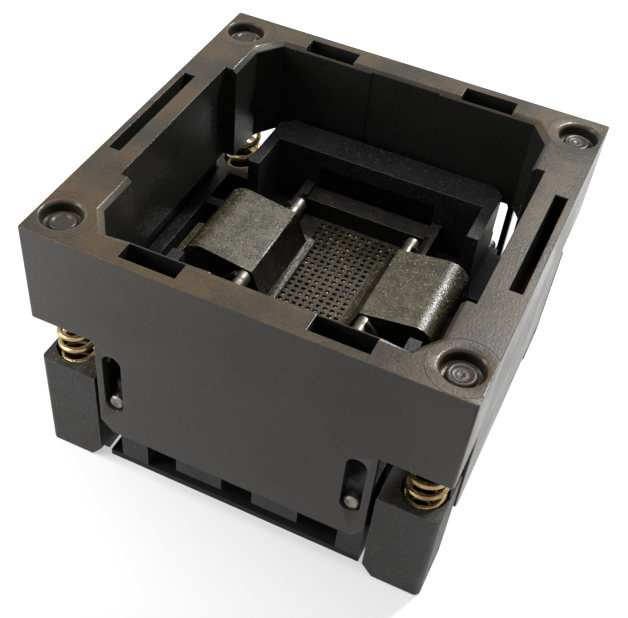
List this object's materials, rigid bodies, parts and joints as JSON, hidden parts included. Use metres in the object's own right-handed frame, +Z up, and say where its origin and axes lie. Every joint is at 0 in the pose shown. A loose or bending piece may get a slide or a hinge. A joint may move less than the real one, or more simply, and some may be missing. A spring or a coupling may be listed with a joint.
{
  "type": "ic test socket",
  "caption": "Open top test socket for a small integrated circuit: a sprung cover pressed down swings two latches off the contact field.",
  "frame": {"origin": "centre of the underside, where the socket rests on the board", "axes": "+X towards the right latch, +Y away from the pictured front, +Z up through the sprung cover"},
  "size_m": [0.042, 0.042, 0.029],
  "materials": {
    "cover_plastic": "satin",
    "base_plastic": "satin",
    "latch_plastic": "rough",
    "block_plastic": "satin",
    "guide_plastic": "satin",
    "shaft_steel": "ground",
    "spring_brass": "plated",
    "spring_steel": "drawn wire",
    "contact_gold": "gold plated"
  },
  "bodies": {
    "base": {"base": "base_plastic", "bottom_plate": "base_plastic", "contact_block": "block_plastic", "contacts": "contact_gold", "package_guide": "guide_plastic", "hinge_shaft_right": "shaft_steel", "hinge_shaft_left": "shaft_steel", "cover_spring_back_right": "spring_brass", "cover_spring_back_left": "spring_brass", "cover_spring_front_right": "spring_brass", "cover_spring_front_left": "spring_brass", "latch_spring_back_right": "spring_steel", "latch_spring_back_left": "spring_steel", "latch_spring_front_right": "spring_steel", "latch_spring_front_left": "spring_steel"},
    "cover": {"cover": "cover_plastic"},
    "right_latch": {"latch_right": "latch_plastic", "anchor_pin_right": "shaft_steel"},
    "left_latch": {"latch_left": "latch_plastic", "anchor_pin_left": "shaft_steel"}
  },
  "joints": [
    {"name": "cover_press", "type": "slide", "parent": "base", "child": "cover", "axis": [0, 0, -1], "range_m": [0, 0.0054], "stiffness_N_per_m": 1500, "springref_m": -0.001, "deforming": ["cover_spring_back_right", "cover_spring_back_left", "cover_spring_front_right", "cover_spring_front_left"]},
    {"name": "right_latch_swing", "type": "hinge", "parent": "base", "child": "right_latch", "pos_m": [0.01245, 0, 0.01], "axis": [0, 1, 0], "range_deg": [0, 28], "deforming": ["latch_spring_back_right", "latch_spring_front_right"]},
    {"name": "left_latch_swing", "type": "hinge", "parent": "base", "child": "left_latch", "pos_m": [-0.01245, 0, 0.01], "axis": [0, -1, 0], "range_deg": [0, 28], "deforming": ["latch_spring_back_left", "latch_spring_front_left"]}
  ],
  "couplings": [
    {"joint": "right_latch_swing", "follows": "cover_press", "rad_per_m": 90.49},
    {"joint": "left_latch_swing", "follows": "cover_press", "rad_per_m": 90.49}
  ]
}
